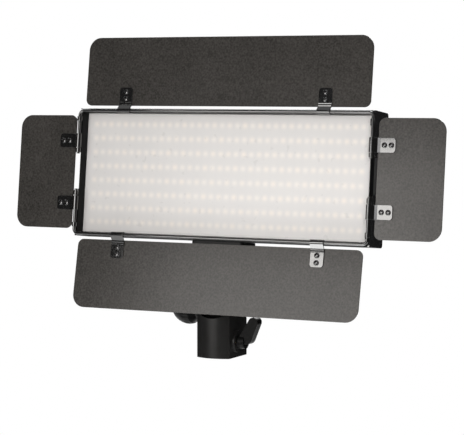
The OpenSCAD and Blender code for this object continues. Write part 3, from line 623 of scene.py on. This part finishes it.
BOX_FACES = ((0, 1, 2, 3), (7, 6, 5, 4), (0, 4, 5, 1), (1, 5, 6, 2), (2, 6, 7, 3), (3, 7, 4, 0))
# Millimetres: head radius, head height, shank radius and length below the seat.
CLIP_SCREW = (2.5, 1.1, 1.25, 2.9)
BRACKET_SCREW = (2.6, 1.3, 1.4, 8)
BOX_SCREW = (2.7, 1.6, 1.3, 18.6)
FOOT_SCREW = (2.9, 2.0, 1.5, 13)


def screw_mesh(head_r, head_h, shank_r, length):
    """A screw with a domed head and a cross recess, its seat at Y 0 and its head towards -Y."""
    chamfer, rim, fullness, dome, around = 0.1, 0.28 * head_h, 0.8, 7, 40
    bm = bmesh.new()
    profile = [(shank_r, length), (shank_r, 0), (head_r - chamfer, 0), (head_r, -chamfer),
               (head_r, -rim)]
    profile += [(head_r * math.cos(a) ** fullness, -rim - (head_h - rim) * math.sin(a))
                for a in (math.pi / 2 * i / dome for i in range(1, dome))]
    profile += [(0, -head_h)]
    rows = []
    for r, y in profile:
        if r == 0:
            rows.append([bm.verts.new((0, y * MM, 0))])
            continue
        rows.append([bm.verts.new((r * MM * math.cos(t), y * MM, r * MM * math.sin(t)))
                     for t in (2 * math.pi * i / around for i in range(around))])
    bm.faces.new(rows[0])
    for a, b in zip(rows, rows[1:]):
        for i in range(around):
            j = (i + 1) % around
            bm.faces.new((a[i], a[j], b[0]) if len(b) == 1 else (a[i], a[j], b[j], b[i]))
    bmesh.ops.recalc_face_normals(bm, faces=bm.faces)
    screw = bpy.data.meshes.new("screw")
    bm.to_mesh(screw)
    bm.free()
    return cut_cross(screw, head_r, head_h)


def cut_cross(screw, head_r, head_h):
    """Takes a tapering cross recess out of a screw's head, and gives the recess slot 1, which holds
    painted shade.
    """
    arm, thick, deep = head_r * 0.62, head_r * 0.2, head_h * 0.9
    arm_low, thick_low = arm * 0.45, thick * 0.6
    top, low = -head_h * 1.2, -head_h + deep
    bm = bmesh.new()
    for quarter in (0, 90):
        corners = []
        for y, a, t in ((top, arm, thick), (low, arm_low, thick_low)):
            for sx, sz in ((1, 1), (-1, 1), (-1, -1), (1, -1)):
                corners.append(turn(quarter, "Y") @ (Vector((sx * a, y, sz * t)) * MM))
        v = [bm.verts.new(c) for c in corners]
        for face in BOX_FACES:
            bm.faces.new([v[i] for i in face])
    bmesh.ops.recalc_face_normals(bm, faces=bm.faces)
    cutter_mesh = bpy.data.meshes.new("cross")
    bm.to_mesh(cutter_mesh)
    bm.free()
    base = bpy.data.objects.new("screw", screw)
    cutter = bpy.data.objects.new("cross", cutter_mesh)
    for obj in (base, cutter):
        bpy.context.scene.collection.objects.link(obj)
    cut = base.modifiers.new("cross", "BOOLEAN")
    cut.operation, cut.object, cut.solver, cut.use_self = "DIFFERENCE", cutter, "EXACT", True
    result = bmesh.new()
    result.from_object(base, bpy.context.evaluated_depsgraph_get())
    for face in result.faces:
        middle = face.calc_center_median() / MM
        in_recess = math.hypot(middle.x, middle.z) < arm and -head_h * 0.97 < middle.y < 0
        face.material_index = int(in_recess)
    bpy.data.objects.remove(base)
    bpy.data.objects.remove(cutter)
    return result


def add_screws(name, node, places, sizes, material):
    """One piece with a screw at each place; the last turn in a place sets how its cross lies."""
    mesh = copies(screw_mesh(*sizes), places, name)
    screws = add_piece(name, mesh, node, material)
    # Slot 1 puts the matte black rubber finish on the recess faces: painted shade inside the cross
    # recess.
    mesh.materials.append(FINISHES["rubber_black"])
    soften(screws, SHARP_SCREW)


CLIP_FRONT_Y = CLIP_MID_Y - CLIP_T / 2
for side, hinge in HINGES.items():
    add_screws(side + "_clip_screws", side + "_door_screws",
               [hinge @ shift(s * CLIP_X[side], CLIP_FRONT_Y, z) @ turn(17 * s + 9 * i, "Y")
                for s in (-1, 1) for i, z in enumerate(CLIP_SCREW_Z)],
               CLIP_SCREW, FINISHES["gloss_black_steel"])

BRACKET_FACE_X = 148 + 0.05 + 1.9
BRACKET_SCREW_Y = 22.5
BRACKET_SCREW_Z = [30, 48, -28, -46]
add_screws("bracket_pan_screws", "bracket_screws",
           [HEAD @ shift(s * BRACKET_FACE_X, BRACKET_SCREW_Y, z) @ turn(90 * s, "Z")
            @ turn(23 * i, "Y") for s in (-1, 1) for i, z in enumerate(BRACKET_SCREW_Z)],
           BRACKET_SCREW, BLACK_NICKEL)
BOX_SCREW_X, BOX_SEAT_Y, BOX_SCREW_Z = 69, 52.65 - 2.9, 33
add_screws("box_pan_screws", "box_screws",
           [HEAD @ shift(s * BOX_SCREW_X, BOX_SEAT_Y, t * BOX_SCREW_Z) @ turn(180, "Z")
            @ turn(31 * s + 12 * t, "Y") for s in (-1, 1) for t in (-1, 1)],
           BOX_SCREW, BLACK_NICKEL)
FOOT_SCREW_X, FOOT_SCREW_Y, FOOT_SEAT_Z = 20, 22.5, -68.1
add_screws("foot_pan_screws", "foot_screws",
           [HEAD @ shift(s * FOOT_SCREW_X, FOOT_SCREW_Y, FOOT_SEAT_Z) @ turn(90, "X")
            @ turn(40 * s, "Y") for s in (-1, 1)],
           FOOT_SCREW, BLACK_NICKEL)

# ---------------------------------------------------------------- studio

FLOOR_DROP = 0.35  # metres
FLOOR_R = 1.0
FLOOR_COLOUR = (0.8, 0.8, 0.8, 1)
WHITE = (1.0, 1.0, 1.0, 1.0)
WORLD_FILL = 0.03
WARM = (1, 0.978, 0.95)
NEUTRAL = (1, 1, 1)


def add_floor():
    """A plain white round table top, well below the stand adapter."""
    bm = bmesh.new()
    bmesh.ops.create_circle(bm, cap_ends=True, segments=96, radius=FLOOR_R)
    mesh = bpy.data.meshes.new("floor")
    bm.to_mesh(mesh)
    bm.free()
    floor = bpy.data.objects.new("floor", mesh)
    floor.location = (0, 0, cad_box[0].z - FLOOR_DROP)
    bpy.context.scene.collection.objects.link(floor)
    f = Finish("white_floor", roughness=0.8, specular=0.1)
    f.shader.inputs["Base Color"].default_value = FLOOR_COLOUR
    mesh.materials.append(f.material)


def add_world():
    """White to the eye, and a dim grey fill to everything that it lights."""
    world = bpy.data.worlds.new("studio")
    world.use_nodes = True
    tree = world.node_tree
    tree.nodes.clear()
    output = tree.nodes.new("ShaderNodeOutputWorld")
    seen = tree.nodes.new("ShaderNodeBackground")
    cast = tree.nodes.new("ShaderNodeBackground")
    seen.inputs["Color"].default_value = WHITE
    cast.inputs["Color"].default_value = WHITE
    cast.inputs["Strength"].default_value = WORLD_FILL
    path = tree.nodes.new("ShaderNodeLightPath")
    mix = tree.nodes.new("ShaderNodeMixShader")
    tree.links.new(path.outputs["Is Camera Ray"], mix.inputs["Fac"])
    tree.links.new(cast.outputs["Background"], mix.inputs[1])
    tree.links.new(seen.outputs["Background"], mix.inputs[2])
    tree.links.new(mix.outputs["Shader"], output.inputs["Surface"])
    bpy.context.scene.world = world


def direction(azimuth, elevation):
    """Unit vector towards a light; azimuth 0 is in front of the panel and 90 on its right."""
    a, e = math.radians(azimuth), math.radians(elevation)
    return Vector((math.sin(a) * math.cos(e), -math.cos(a) * math.cos(e), math.sin(e)))


def add_light(name, place, facing, size, radiance, tint=NEUTRAL):
    """A soft rectangular light; place is from the panel's middle, and it shines against facing."""
    data = bpy.data.lights.new(name, "AREA")
    data.shape = "RECTANGLE"
    data.size, data.size_y = size
    data.energy = radiance * math.pi * data.size * data.size_y
    data.color = tint
    light = bpy.data.objects.new(name, data)
    light.location = HEAD.translation + place
    light.rotation_mode = "QUATERNION"
    light.rotation_quaternion = facing.to_track_quat("Z", "Y")
    light.visible_camera = False
    bpy.context.scene.collection.objects.link(light)
    return light


def add_card(name, azimuths, elevations, distance, radiance):
    """A soft rectangular light that spans those angles as seen from the panel's middle."""
    middle = direction(sum(azimuths) / 2, sum(elevations) / 2)
    size = [2 * distance * math.tan(math.radians(high - low) / 2)
            for low, high in (azimuths, elevations)]
    add_light(name, middle * distance, middle, size, radiance)


add_floor()
add_world()
# The key is near, on the front left, and shows in the clip pads on the right and in the lower
# door. The fill lights the opal sheet and shows in no reflection. The low one is for the adapter.
add_light("key_softbox", Vector((-0.32, -0.8, -0.01)), direction(0, 0), (0.41, 0.42), 6.4, WARM)
fill = add_light("fill_softbox", Vector((0.45, -0.6, 0.2)), direction(35, 15), (0.3, 0.3), 12,
                 WARM)
fill.visible_glossy = False
add_light("low_softbox", Vector((0.06, -0.15, -0.45)), direction(-20, -75), (0.28, 0.26), 6)
# Name, azimuths, elevations, distance in metres and radiance.
CARDS = [
    ("high_softbox", (-20, 30), (38, 56), 2.5, 1.5),
    ("edge_softbox", (0, 12), (7, 16), 2.5, 3),
    ("right_softbox", (75, 98), (8, 40), 2.6, 1.5),
    ("left_softbox", (-125, -92), (5, 45), 2.6, 4),
    ("rear_softbox", (178, 232), (12, 58), 2.8, 6),
    ("overhead_softbox", (-40, 40), (85, 120), 2.4, 0.45),
]
for card in CARDS:
    add_card(*card)
bpy.context.scene.view_settings.view_transform = "Standard"
